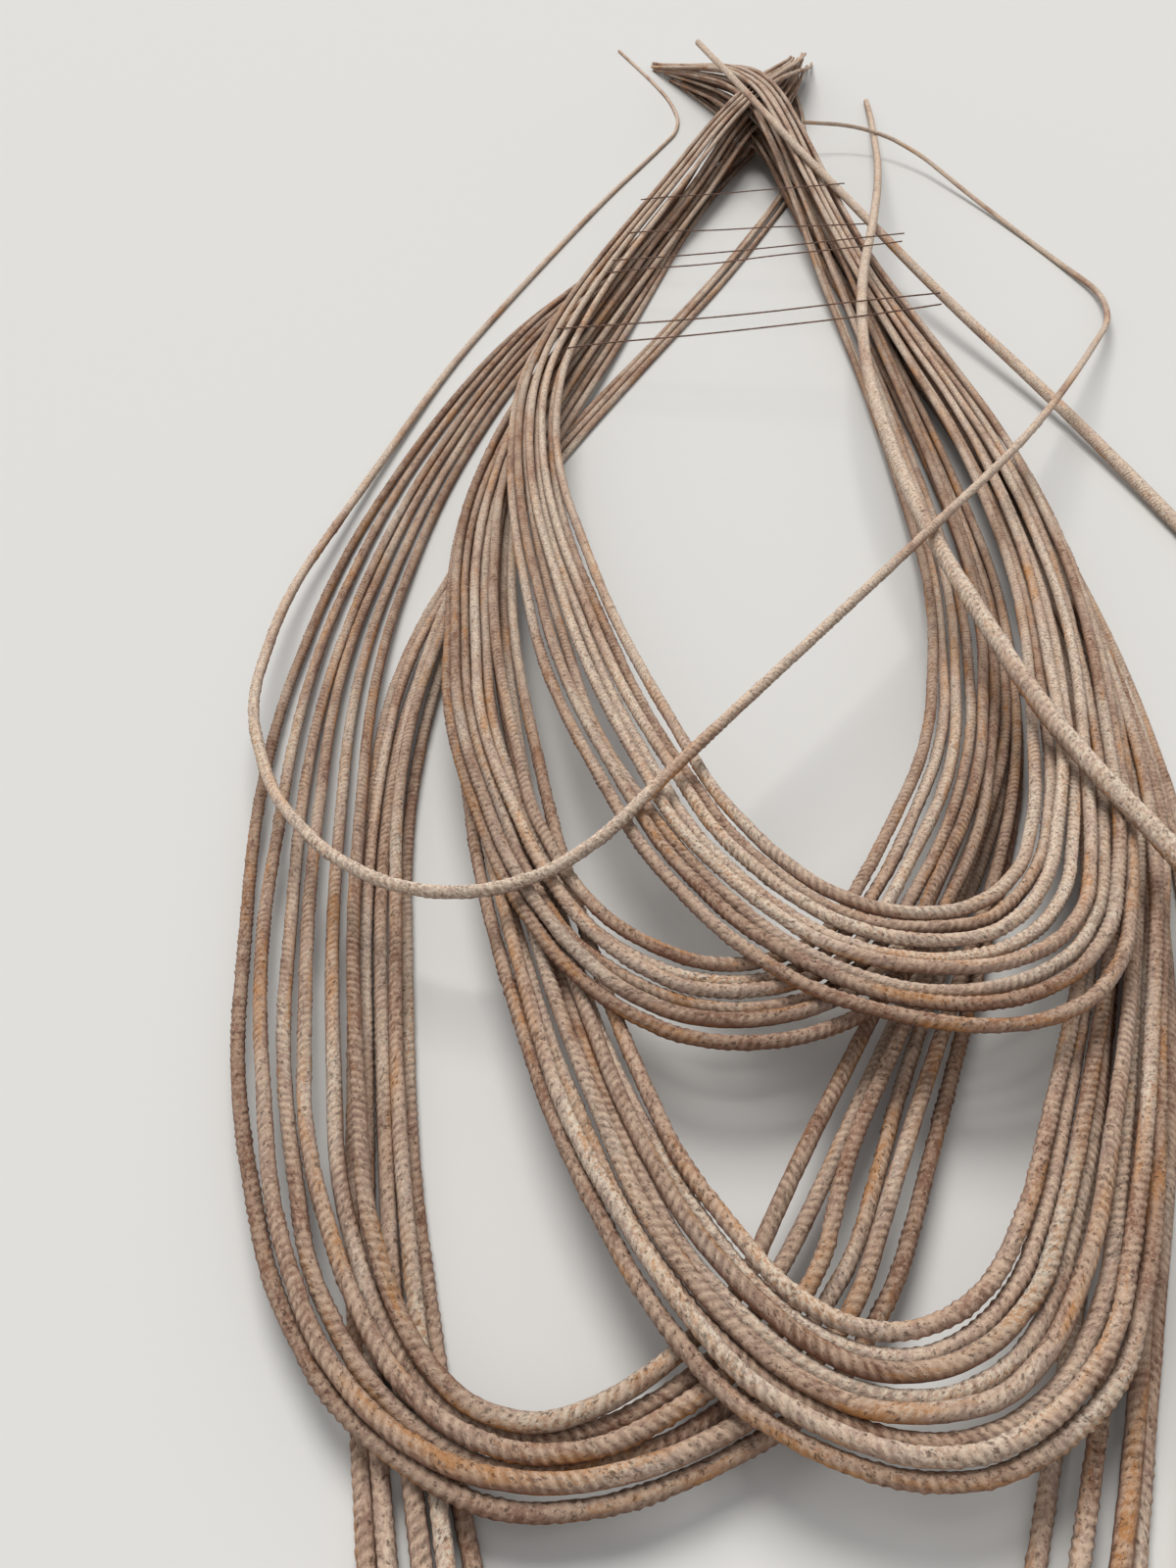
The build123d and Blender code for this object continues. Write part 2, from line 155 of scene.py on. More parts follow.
# Guides: x, y and the ribbon's width from its first bar's centre to its last one's
LOWEST_LEFT_STREAM = [
    (905, 6500, 20), (880, 5950, 20), (850, 5450, 20), (795, 4920, 20), (735, 4480, 20),
    (640, 4020, 22), (500, 3550, 26), (320, 2985, 28), (200, 2640, 28), (110, 2400, 28),
    (25, 2160, 28), (-55, 1930, 28), (-125, 1720, 28), (-190, 1492, 28), (-228, 1300, 26),
    (-243, 1105, 24), (-227, 900, 22), (-201, 725, 22), (-172, 520, 24), (-148, 400, 28),
    (-127, 300, 32), (-103, 190, 34), (-60, 75, 36), (8, 8, 38), (90, -25, 40),
    (172, -12, 42), (248, 48, 44), (305, 140, 46), (346, 235, 46), (385, 330, 46),
    (430, 430, 44), (482, 540, 40), (532, 670, 36), (580, 800, 32), (616, 930, 28),
    (645, 1080, 28), (668, 1300, 28), (690, 1600, 28), (698, 1990, 28), (680, 2400, 28),
    (662, 2900, 28), (645, 3400, 28), (632, 3940, 28), (600, 4600, 28), (560, 5100, 28),
    (505, 5600, 28), (440, 6100, 28), (385, 6500, 28),
]
LOWEST_RIGHT_STREAM = [
    (1010, 6500, 20), (930, 6000, 20), (830, 5500, 22), (715, 5030, 24), (575, 4560, 26),
    (430, 4100, 26), (294, 3597, 28), (168, 3017, 28), (66, 2557, 28), (0, 2259, 28),
    (-60, 1990, 28), (-110, 1760, 28), (-160, 1500, 28), (-195, 1300, 26), (-215, 1105, 24),
    (-202, 900, 22), (-178, 725, 22), (-147, 520, 24), (-119, 400, 28), (-95, 300, 32),
    (-68, 200, 34), (-27, 108, 36), (30, 52, 38), (92, 25, 40), (152, 40, 42), (203, 90, 44),
    (252, 175, 46), (300, 270, 46), (344, 365, 46), (391, 463, 44), (440, 572, 40),
    (490, 700, 36), (545, 835, 32), (586, 965, 28), (614, 1100, 28), (640, 1300, 28),
    (658, 1600, 28), (662, 1990, 28), (648, 2400, 28), (628, 2900, 28), (614, 3400, 28),
    (600, 3940, 28), (572, 4600, 28), (530, 5100, 28), (468, 5600, 28), (395, 6100, 28),
    (335, 6500, 28),
]
OUTER_LEFT = [
    (985, 6500, 80), (905, 6000, 75), (810, 5500, 70), (705, 5040, 65), (575, 4580, 60),
    (355, 3930, 60), (205, 3420, 62), (80, 3100, 66), (-30, 2819, 72), (-125, 2564, 78),
    (-178, 2332, 84), (-230, 2075, 88), (-268, 1874, 92), (-298, 1650, 95), (-318, 1430, 100),
    (-322, 1200, 108), (-305, 1002, 112), (-285, 850, 106), (-266, 719, 98), (-245, 611, 92),
    (-220, 519, 88), (-188, 440, 80), (-150, 375, 66), (-102, 328, 52), (-48, 306, 46),
    (8, 311, 50), (62, 332, 62), (112, 365, 74), (150, 402, 84), (178, 445, 88),
    (204, 513, 88), (248, 603, 82), (312, 720, 66), (377, 836, 50), (420, 915, 42),
    (458, 1000, 38), (500, 1130, 38), (542, 1350, 40), (572, 1640, 40), (590, 2000, 42),
    (600, 2500, 45), (598, 3000, 48), (590, 3500, 50), (580, 4000, 52), (566, 4600, 58),
    (528, 5100, 64), (470, 5600, 70), (405, 6100, 76), (350, 6500, 80),
]
FRONT_LOOP = [
    (960, 6500, 110), (880, 6000, 104), (785, 5500, 98), (690, 5050, 90), (572, 4600, 84),
    (415, 4050, 76), (270, 3495, 70), (115, 2985, 66), (35, 2630, 62), (-38, 2310, 62),
    (-100, 2050, 62), (-140, 1800, 62), (-152, 1560, 64), (-143, 1340, 70), (-122, 1118, 78),
    (-95, 939, 78), (-66, 830, 78), (-40, 720, 78), (-20, 640, 76), (0, 570, 74),
    (28, 495, 72), (62, 432, 74), (106, 375, 78), (160, 338, 82), (216, 331, 88),
    (264, 347, 90), (306, 383, 90), (345, 440, 86), (383, 510, 80), (418, 590, 76),
    (458, 683, 70), (510, 790, 66), (562, 930, 62), (605, 1120, 60), (635, 1350, 60),
    (655, 1640, 60), (660, 2000, 60), (645, 2500, 60), (628, 3000, 62), (612, 3500, 64),
    (600, 4000, 68), (580, 4600, 76), (548, 5100, 86), (492, 5600, 96), (425, 6100, 104),
    (370, 6500, 110),
]
MIDDLE_LOOP = [
    (930, 6500, 80), (855, 6000, 76), (768, 5500, 72), (680, 5060, 66), (570, 4630, 60),
    (410, 4080, 54), (262, 3510, 50), (108, 3010, 48), (28, 2650, 48), (-45, 2330, 48),
    (-112, 2060, 50), (-152, 1820, 50), (-167, 1580, 52), (-160, 1350, 58), (-138, 1118, 62),
    (-108, 950, 60), (-80, 860, 58), (-48, 782, 56), (-12, 717, 58), (36, 666, 68),
    (86, 642, 78), (142, 641, 80), (200, 664, 80), (250, 714, 78), (294, 792, 76),
    (340, 865, 76), (378, 945, 74), (412, 1030, 72), (446, 1140, 70), (490, 1350, 68),
    (524, 1640, 64), (546, 2000, 60), (562, 2500, 56), (570, 3000, 52), (573, 3500, 50),
    (572, 4000, 52), (558, 4600, 60), (520, 5100, 66), (462, 5600, 72), (395, 6100, 78),
    (340, 6500, 80),
]
TOP_LOOP = [
    (1000, 6500, 116), (915, 6000, 110), (820, 5500, 104), (715, 5060, 96), (588, 4640, 86),
    (356, 3940, 74), (200, 3400, 72), (50, 2900, 78), (-28, 2520, 76), (-74, 2245, 70),
    (-98, 1990, 66), (-84, 1640, 72), (-38, 1330, 86), (8, 1088, 108), (62, 900, 104),
    (108, 800, 104), (156, 733, 106), (208, 688, 112), (266, 667, 122), (324, 668, 128),
    (376, 690, 122), (420, 736, 112), (452, 800, 98), (478, 875, 90), (510, 965, 86),
    (548, 1085, 84), (592, 1290, 84), (636, 1600, 86), (660, 1990, 84), (644, 2350, 80),
    (624, 2700, 76), (608, 3200, 74), (600, 3700, 76), (592, 4200, 80), (574, 4650, 86),
    (536, 5100, 94), (478, 5600, 104), (408, 6100, 112), (352, 6500, 118),
]
LOOSE_LOOP = [
    (730, 4518), (902, 4533), (1045, 4317), (1120, 3843), (1161, 3407), (1178, 3110), (1185, 2900),
    (1168, 2741), (1098, 2550), (1004, 2370), (889, 2140), (716, 1802), (596, 1603), (502, 1455),
    (430, 1350), (353, 1250), (287, 1169), (220, 1087), (150, 998), (82, 896), (11, 805),
    (-66, 752), (-159, 757), (-245, 818), (-326, 934), (-377, 1070), (-400, 1198), (-406, 1339),
    (-396, 1459), (-380, 1616), (-331, 1988), (-255, 2487), (-163, 2884), (61, 3843), (323, 4856),
    (345, 5200), (340, 5500), (315, 5800), (270, 6200), (220, 6600), (170, 7000),
]
THICK_BAR = [
    (372, 4680), (448, 4276), (545, 3697), (649, 3221), (718, 2880), (780, 2531), (836, 2220),
    (879, 1951), (897, 1661), (904, 1450), (908, 1100), (912, 700), (915, 300), (918, -100),
    (918, -400), (905, -560), (865, -690), (815, -755), (760, -772), (705, -755), (650, -690),
    (608, -560), (592, -400), (592, -100), (590, 200), (580, 500), (560, 690), (532, 789),
    (500, 872), (472, 992), (460, 1093), (450, 1190), (440, 1290), (434, 1401), (432, 1534),
    (442, 1751), (460, 1978), (483, 2154), (530, 2405), (670, 2987), (832, 3737), (962, 4450),
    (1095, 5219), (1160, 5700), (1210, 6200),
]
TIE_WIRES = [
    [(135, 3290), (205, 3300), (330, 3292), (450, 3296), (560, 3288), (650, 3284)],
    [(95, 3010), (165, 3020), (300, 3010), (430, 3016), (560, 3004), (655, 2998)],
    [(55, 2800), (130, 2796), (270, 2788), (420, 2782), (560, 2774), (690, 2760)],
    [(40, 2715), (120, 2722), (260, 2706), (410, 2712), (560, 2694), (670, 2688)],
    [(-60, 2330), (20, 2326), (180, 2312), (340, 2302), (500, 2296), (655, 2282)],
    [(-40, 2225), (40, 2232), (190, 2222), (350, 2214), (500, 2206), (640, 2212)],
]

# Name, number of bars and guide, from the floor up
BUNDLES = [
    ("lowest_hairpins", [(3, LOWEST_LEFT_STREAM), (3, LOWEST_RIGHT_STREAM)]),
    ("outer_left_hairpins", [(6, OUTER_LEFT)]),
    ("front_loop_hairpins", [(8, FRONT_LOOP)]),
    ("middle_loop_hairpins", [(6, MIDDLE_LOOP)]),
    ("top_loop_hairpins", [(8, TOP_LOOP)]),
]


def unit(vectors):
    return vectors / np.linalg.norm(vectors, axis=-1, keepdims=True)


def fair_curve(points, step=10.0):
    """Points about a step apart on the smooth curve through the given plan points."""
    points = np.asarray(points, float)
    ends = np.vstack([2 * points[0] - points[1], points, 2 * points[-1] - points[-2]])
    curve = []
    for a, b, c, d in zip(ends, ends[1:], ends[2:], ends[3:]):
        share = np.linspace(0, 1, max(2, int(math.dist(b, c) / step)), endpoint=False)[:, None]
        curve.append(
            b
            + 0.5 * share * (c - a)
            + share**2 * (a - 2.5 * b + 2 * c - 0.5 * d)
            + share**3 * (1.5 * (b - c) + 0.5 * (d - a))
        )
    return np.vstack(curve + [points[-1:]])


def running_mean(values, width):
    padded = np.pad(values, width, mode="edge")
    return np.convolve(padded, np.ones(2 * width + 1) / (2 * width + 1), "valid")


def run_on(curve, missing, front_share, step=10.0):
    """The curve, carried on straight where it is too short for a bar."""
    shares = (front_share, 1 - front_share)
    front, back = (np.arange(step, share * missing, step)[:, None] for share in shares)
    return np.vstack([
        (curve[0] + front * unit(curve[0] - curve[1]))[::-1],
        curve,
        curve[-1] + back * unit(curve[-1] - curve[-2]),
    ])


def corner_points(curve, length, run, front_share=0.5, shift=0.0):
    """A bar's corners, cut to length: close together where it bends, far apart where it is straight."""
    missing = length + 2 * abs(shift) - np.linalg.norm(np.diff(curve, axis=0), axis=1).sum()
    if 0 < missing < math.inf:
        curve = run_on(curve, missing, front_share)
    steps = np.linalg.norm(np.diff(curve, axis=0), axis=1)
    reach = np.concatenate([[0], np.cumsum(steps)])
    heading = np.unwrap(np.arctan2(*np.diff(curve, axis=0).T[::-1]))
    turning = np.abs(np.gradient(running_mean(heading, 3), reach[:-1]))
    crowding = running_mean(np.maximum(1 / run, running_mean(turning, 3) / sharpest_turn), 12)
    spare = max(0.0, reach[-1] - length)
    start = max(0.0, spare * front_share + shift)
    finish = min(reach[-1], start + length)
    count = np.interp([start, finish], reach[:-1], np.cumsum(crowding * steps))
    whole = max(3, math.ceil(count[1] - count[0]))
    stations = np.interp(np.linspace(*count, whole + 1), np.cumsum(crowding * steps), reach[:-1])
    stations[0], stations[-1] = start, finish
    return np.column_stack([np.interp(stations, reach, curve[:, axis]) for axis in (0, 1)])


def rounded(plan):
    """Spots along the path with its corners rounded, and each spot's share of every corner's height."""
    runs = np.linalg.norm(np.diff(plan, axis=0), axis=1)
    along = unit(np.diff(plan, axis=0))
    pick = np.eye(len(plan))
    rise = (pick[1:] - pick[:-1]) / runs[:, None]
    cut = np.zeros(len(plan))
    cut[1:-1] = corner_share * np.minimum(runs[:-1], runs[1:])
    spots, shares = [], []
    for i, run in enumerate(runs):
        straight = np.arange(cut[i], run - cut[i + 1], sample_step)[:, None]
        spots.append(plan[i] + straight * along[i])
        shares.append(pick[i] + straight * rise[i])
        if i + 1 == len(runs):
            break
        turn = math.acos(np.clip(along[i] @ along[i + 1], -1, 1))
        radius = cut[i + 1] / math.tan(turn / 2)
        sweep_angle = np.arange(0, turn, sample_step / radius)[:, None]
        side = (along[i + 1] - math.cos(turn) * along[i]) / math.sin(turn)
        lift = (rise[i + 1] - math.cos(turn) * rise[i]) / math.sin(turn)
        ahead, across = radius * np.sin(sweep_angle), radius * (1 - np.cos(sweep_angle))
        spots.append(plan[i + 1] - cut[i + 1] * along[i] + ahead * along[i] + across * side)
        shares.append(pick[i + 1] - cut[i + 1] * rise[i] + ahead * rise[i] + across * lift)
    spots.append(plan[-1:])
    shares.append(pick[-1:])
    return np.vstack(spots), np.vstack(shares)


def blocks_of(spots):
    """Consecutive stretches of a path with the box that each one lies in."""
    cuts = list(range(0, len(spots) - 1, block_length))
    stretches = [spots[i : i + block_length + 1] for i in cuts]
    low = np.array([s.min(axis=0) for s in stretches])
    high = np.array([s.max(axis=0) for s in stretches])
    return cuts, low, high


def near_pairs(spots, others, reach):
    """Where two paths pass closer in plan than reach: spot, other path's segment, place on it, distance."""
    cuts, low, high = blocks_of(spots)
    other_cuts, other_low, other_high = blocks_of(others)
    apart = np.maximum(low[:, None] - other_high, other_low - high[:, None]).max(axis=2)
    found = [np.zeros((0, 4))]
    for m, n in zip(*np.nonzero(apart < reach)):
        i, j = cuts[m], other_cuts[n]
        mine, theirs = spots[i : i + block_length], others[j : j + block_length + 1]
        edge = np.diff(theirs, axis=0)
        offset = mine[:, None] - theirs[:-1]
        place = np.clip((offset * edge).sum(axis=2) / (edge**2).sum(axis=1), 0, 1)
        gap = np.linalg.norm(offset - place[..., None] * edge, axis=2)
        a, b = np.nonzero(gap < reach)
        found.append(np.column_stack([a + i, b + j, place[a, b], gap[a, b]]))
    return np.vstack(found)


def contacts_between(paths, diameter):
    """Where bars of one bundle pass over each other: (upper bar, lower bar, their shares, least rise)."""
    reach = diameter + rib_gap
    for a, (spots, shares) in enumerate(paths):
        for b, (other_spots, other_shares) in enumerate(paths[: a + 1]):
            pairs = near_pairs(spots, other_spots, reach)
            mine, theirs = pairs[:, 0].astype(int), pairs[:, 1].astype(int)
            rise = np.sqrt(reach**2 - pairs[:, 3] ** 2)
            place = pairs[:, 2:3]
            there = other_shares[theirs] * (1 - place) + other_shares[theirs + 1] * place
            lead = mine / len(spots) - theirs / len(other_spots)
            # Second legs lie over first legs, and along one leg a later bar lies over an earlier one
            above = (lead > crossing_lead) | ((np.abs(lead) <= crossing_lead) & (a != b))
            below = (lead < -crossing_lead) & (a != b)
            yield a, b, shares[mine[above]], there[above], rise[above]
            yield b, a, there[below], shares[mine[below]], rise[below]


def contacts_with_laid(paths, diameter, laid, gap):
    """What each bar of a bundle lies on: the floor, and everything that was laid before it."""
    for a, (spots, shares) in enumerate(paths):
        floor = np.full(len(spots), diameter / 2)
        for other_spots, other_heights, other_diameter in laid:
            reach = (diameter + other_diameter) / 2 + gap
            pairs = near_pairs(spots, other_spots, reach)
            mine, theirs = pairs[:, 0].astype(int), pairs[:, 1].astype(int)
            below = other_heights[theirs] + pairs[:, 2] * np.diff(other_heights)[theirs]
            np.maximum.at(floor, mine, below + np.sqrt(reach**2 - pairs[:, 3] ** 2))
        yield a, a, shares, np.zeros_like(shares), floor


def settle(plans, diameter, laid, gap=rib_gap):
    """Corner heights of bars that sink under their own weight, as beams, onto what lies below them."""
    paths = [rounded(plan) for plan in plans]
    contacts = list(contacts_between(paths, diameter)) + list(contacts_with_laid(paths, diameter, laid, gap))
    ends = np.cumsum([0] + [len(plan) for plan in plans])
    own = [slice(start, end) for start, end in zip(ends, ends[1:])]
    stiffness, weight = np.zeros((ends[-1], ends[-1])), np.zeros(ends[-1])
    for plan, part in zip(plans, own):
        runs = np.linalg.norm(np.diff(plan, axis=0), axis=1)
        tributary = (np.append(runs, 0) + np.append(0, runs)) / 2
        pick = np.eye(len(plan))
        rise = (pick[1:] - pick[:-1]) / runs[:, None]
        bend = (rise[1:] - rise[:-1]) / np.sqrt(tributary[1:-1, None])
        stiffness[part, part] = spring_share * youngs_modulus * math.pi / 64 * diameter**4 * bend.T @ bend
        weight[part] = steel_weight * math.pi / 4 * diameter**2 * tributary
    heights = np.full(ends[-1], max(least.max() for *_, least in contacts if len(least)) + diameter)
    for contact in contact_stiffness:
        for step in range(most_steps):
            system, target = stiffness + slack * np.eye(ends[-1]), slack * diameter - weight
            for a, b, upper, lower, least in contacts:
                short = upper @ heights[own[a]] - lower @ heights[own[b]] < least
                up, down, rise = upper[short], lower[short], contact * least[short]
                system[own[a], own[a]] += contact * up.T @ up
                target[own[a]] += up.T @ rise
                system[own[b], own[b]] += contact * down.T @ down
                target[own[b]] -= down.T @ rise
                system[own[a], own[b]] -= contact * up.T @ down
                system[own[b], own[a]] -= contact * down.T @ up
            change = np.linalg.solve(system, target) - heights
            most = 1.0 if step < free_steps else 0.5
            heights = heights + change * min(most, longest_step / max(np.abs(change).max(), 1e-9))
            if np.abs(change).max() < settled:
                break
    for (spots, shares), part in zip(paths, own):
        laid.append((spots, shares @ heights[part], diameter))
    return [np.column_stack([plan, heights[part]]) for plan, part in zip(plans, own)]


def ribbon(guide, count, length, draw):
    """Plan corners of the bars that lie side by side along a guide, the ones beneath first."""
    guide = np.asarray(guide, float)
    along = unit(np.gradient(guide[:, :2], axis=0))
    side = np.column_stack([-along[:, 1], along[:, 0]])
    plans = []
    for lane in range(count):
        place = lane / (count - 1) - 0.5 if count > 1 else 0.0
        stray = np.array([draw.uniform(-wander, wander) for _ in guide])
        offset = place * guide[:, 2] + (stray if count > 1 else 0.0)
        stagger = draw.uniform(-end_stagger, end_stagger)
        curve = fair_curve(guide[:, :2] + offset[:, None] * side)
        plans.append(corner_points(curve, length, longest_run, shift=stagger))
    return plans[::2] + plans[1::2]


def lay_everything():
    """Every bar's and wire's centre line and diameter by node, laid from the floor up."""
    draw = random.Random(12)
    laid, nodes = [], []
    for name, streams in BUNDLES:
        plans = [plan for count, guide in streams for plan in ribbon(guide, count, bar_length, draw)]
        nodes.append((name, bar_diameter, settle(plans, bar_diameter, laid)))
    thick = corner_points(fair_curve(THICK_BAR), thick_bar_length, longest_run, front_share=0.0)
    nodes.append(("thick_bar", thick_bar_diameter, settle([thick], thick_bar_diameter, laid)))
    loose = corner_points(fair_curve(LOOSE_LOOP), loose_bar_length, longest_run, front_share=0.0)
    nodes.append(("loose_bar", bar_diameter, settle([loose], bar_diameter, laid)))
    wires = [corner_points(fair_curve(wire), math.inf, wire_run, front_share=0.0) for wire in TIE_WIRES]
    nodes.append(("tie_wires", wire_diameter, settle(wires, wire_diameter, laid, wire_gap)))

    # The origin is under the middle of the whole coil
    spots = np.vstack([spots for spots, _, _ in laid])
    low = min((heights - diameter / 2).min() for _, heights, diameter in laid)
    shift = np.append((spots.min(axis=0) + spots.max(axis=0)) / 2, low)
    lines = [(np.column_stack([spots, heights]) - shift, diameter) for spots, heights, diameter in laid]
    found = {}
    for name, _, paths in nodes:
        found[name] = [lines.pop(0) for _ in paths]
    return found


@cache
def coil_paths():
    """Every bar's and wire's centre line and diameter in metres, by node, laid once."""
    return {
        name: [(line / 1000, diameter / 1000) for line, diameter in lines]
        for name, lines in lay_everything().items()
    }


# Sizes and colours


class CoilShape(bpy.types.PropertyGroup):
    """Sizes of what the bars carry."""

    rib_pitch: bpy.props.FloatProperty(
        name="Rib pitch", description="From one cross rib to the next", default=0.0078, unit="LENGTH"
    )
    rib_height: bpy.props.FloatProperty(
        name="Rib height", description="Of a cross rib over the core", default=0.0013, unit="LENGTH"
    )
    seam_height: bpy.props.FloatProperty(
        name="Seam height", description="Of the two ribs that run along a bar", default=0.0006, unit="LENGTH"
    )
    lean: bpy.props.FloatProperty(
        name="Lean", description="How far a cross rib leans along the bar, over its radius", default=0.55
    )
    pitting: bpy.props.FloatProperty(
        name="Pitting", description="Depth of the rust's unevenness", default=0.00045, unit="LENGTH"
    )
    crust: bpy.props.FloatProperty(
        name="Crust", description="Thickness of the rust on a bar", default=0.00035, unit="LENGTH"
    )
    ribbed_range: bpy.props.FloatProperty(
        name="Ribbed range", description="Cut ribs this near to the camera", default=2.05, unit="LENGTH"
    )
    plain_step: bpy.props.FloatProperty(
        name="Plain step", description="Between a plain bar's rings", default=0.03, unit="LENGTH"
    )
    sides: bpy.props.IntProperty(name="Sides", description="Of a bar's section", default=10)


class CoilColours(bpy.types.PropertyGroup):
    """Colours of rust and dust, as they look in plain light."""

    rust: bpy.props.FloatVectorProperty(
        name="Rust", description="Red-brown rust", subtype="COLOR_GAMMA", default=(0.54, 0.385, 0.305)
    )
    mauve: bpy.props.FloatVectorProperty(
        name="Mauve", description="Greyish weathered rust", subtype="COLOR_GAMMA", default=(0.7, 0.6, 0.54)
    )
    ochre: bpy.props.FloatVectorProperty(
        name="Ochre", description="Fresh yellow rust", subtype="COLOR_GAMMA", default=(0.8, 0.55, 0.28)
    )
    # Also the colour of the painted highlight on crests that face up
    tan: bpy.props.FloatVectorProperty(
        name="Tan", description="Dust on what faces up", subtype="COLOR_GAMMA", default=(0.84, 0.73, 0.63)
    )
    pale: bpy.props.FloatVectorProperty(
        name="Pale", description="Dried mud and scale", subtype="COLOR_GAMMA", default=(0.88, 0.83, 0.75)
    )
    # Also the colour of the painted shade in rib valleys and on sides that face down
    pit_and_shade: bpy.props.FloatVectorProperty(
        name="Pit", description="Dark pits and joints", subtype="COLOR_GAMMA", default=(0.24, 0.17, 0.12)
    )
    wire: bpy.props.FloatVectorProperty(
        name="Wire", description="Old tie wire", subtype="COLOR_GAMMA", default=(0.36, 0.29, 0.25)
    )
    floor: bpy.props.FloatVectorProperty(
        name="Floor", description="Pale floor", subtype="COLOR_GAMMA", default=(0.86, 0.85, 0.83)
    )


def linear(colour):
    """A colour as a shader takes it."""
    return tuple(c / 12.92 if c <= 0.04045 else ((c + 0.055) / 1.055) ** 2.4 for c in colour) + (1.0,)


# Node helpers


def put(tree, kind, inputs=(), **settings):
    """A node with its settings, whose inputs are values or other nodes' outputs."""
    node = tree.nodes.new(kind)
    for name, value in settings.items():
        setattr(node, name, value)
    for key, value in dict(inputs).items():
        if isinstance(value, bpy.types.NodeSocket):
            tree.links.new(value, node.inputs[key])
        else:
            node.inputs[key].default_value = value
    return node


def calc(tree, operation, *terms):
    """A Math node's result."""
    return put(tree, "ShaderNodeMath", dict(enumerate(terms)), operation=operation).outputs[0]


def times(tree, product, *factors):
    """The values multiplied, one after another."""
    for factor in factors:
        product = calc(tree, "MULTIPLY", product, factor)
    return product


def minus(tree, value, taken):
    """One value less another."""
    return calc(tree, "SUBTRACT", value, taken)


def calc_vector(tree, operation, *terms):
    """A Vector Math node's result."""
    return put(tree, "ShaderNodeVectorMath", dict(enumerate(terms)), operation=operation).outputs[0]


def scaled(tree, vector, by):
    """A vector times a value."""
    return put(tree, "ShaderNodeVectorMath", {0: vector, "Scale": by}, operation="SCALE").outputs[0]


def ranged(tree, value, low=0.0, high=1.0, least=0.0, most=1.0, kind="LINEAR"):
    """Least where a value is low or lower, most where it is high or higher, and in step between."""
    ends = {"Value": value, "From Min": low, "From Max": high, "To Min": least, "To Max": most}
    return put(tree, "ShaderNodeMapRange", ends, interpolation_type=kind).outputs["Result"]


def eased(tree, value, low, high):
    """0 below low, 1 above high, and smooth between them."""
    return ranged(tree, value, low, high, kind="SMOOTHSTEP")


def mottle(tree, vector, seed, scale, detail=4.0, rough=0.55):
    """A noise from 0 to 1 that differs from bar to bar."""
    grain = {"Vector": vector, "W": seed, "Scale": scale, "Detail": detail, "Roughness": rough}
    return put(tree, "ShaderNodeTexNoise", grain, noise_dimensions="4D").outputs[0]


def mixed(tree, share, first, second):
    """Two colours mixed by a share."""
    return put(tree, "ShaderNodeMix", {0: share, 6: first, 7: second}, data_type="RGBA").outputs[2]


# The bar tree

# What it keeps on every point as a vector, where the rest are values
KEPT_VECTORS = ("across", "centre", "ahead", "skin")


def stored(tree, geometry, name, value):
    """Keeps a value on every point under a name."""
    kind = "FLOAT_VECTOR" if name in KEPT_VECTORS else "FLOAT"
    inputs = {"Geometry": geometry, "Name": name, "Value": value}
    return put(tree, "GeometryNodeStoreNamedAttribute", inputs, data_type=kind).outputs["Geometry"]


def kept(tree, name):
    """Reads what is kept on every point under a name."""
    kind = "FLOAT_VECTOR" if name in KEPT_VECTORS else "FLOAT"
    return put(tree, "GeometryNodeInputNamedAttribute", {"Name": name}, data_type=kind).outputs["Attribute"]


def plain_bar(tree, given):
    """A circle swept along the line, with a ring at each step: every second ring is a rib's crest."""
    line = put(tree, "GeometryNodeMeshToCurve", {"Mesh": given["Line"]}).outputs[0]
    steps = {"Curve": line, "Length": given["Step"]}
    line = put(tree, "GeometryNodeResampleCurve", steps, mode="LENGTH").outputs[0]
    normals = {"Curve": line, "Normal": kept(tree, "across")}
    line = put(tree, "GeometryNodeSetCurveNormal", normals, mode="FREE").outputs[0]
    place = put(tree, "GeometryNodeSplineParameter").outputs["Index"]
    line = stored(tree, line, "crest", calc(tree, "MODULO", place, 2.0))
    line = stored(tree, line, "plain", calc(tree, "LESS_THAN", given["Rib height"], least_rib))
    line = stored(tree, line, "centre", put(tree, "GeometryNodeInputPosition").outputs[0])
    line = stored(tree, line, "ahead", put(tree, "GeometryNodeInputTangent").outputs[0])

    circle = {"Resolution": given["Sides"], "Radius": given["Radius"]}
    ring = put(tree, "GeometryNodeCurvePrimitiveCircle", circle).outputs["Curve"]
    turn = calc(tree, "DIVIDE", put(tree, "GeometryNodeInputIndex").outputs[0], given["Sides"])
    angle = times(tree, turn, math.tau)
    ring = stored(tree, ring, "beside", calc(tree, "COSINE", angle))
    ring = stored(tree, ring, "above", calc(tree, "SINE", angle))
    sweep = {"Curve": line, "Profile Curve": ring, "Fill Caps": True}
    return put(tree, "GeometryNodeCurveToMesh", sweep).outputs[0]


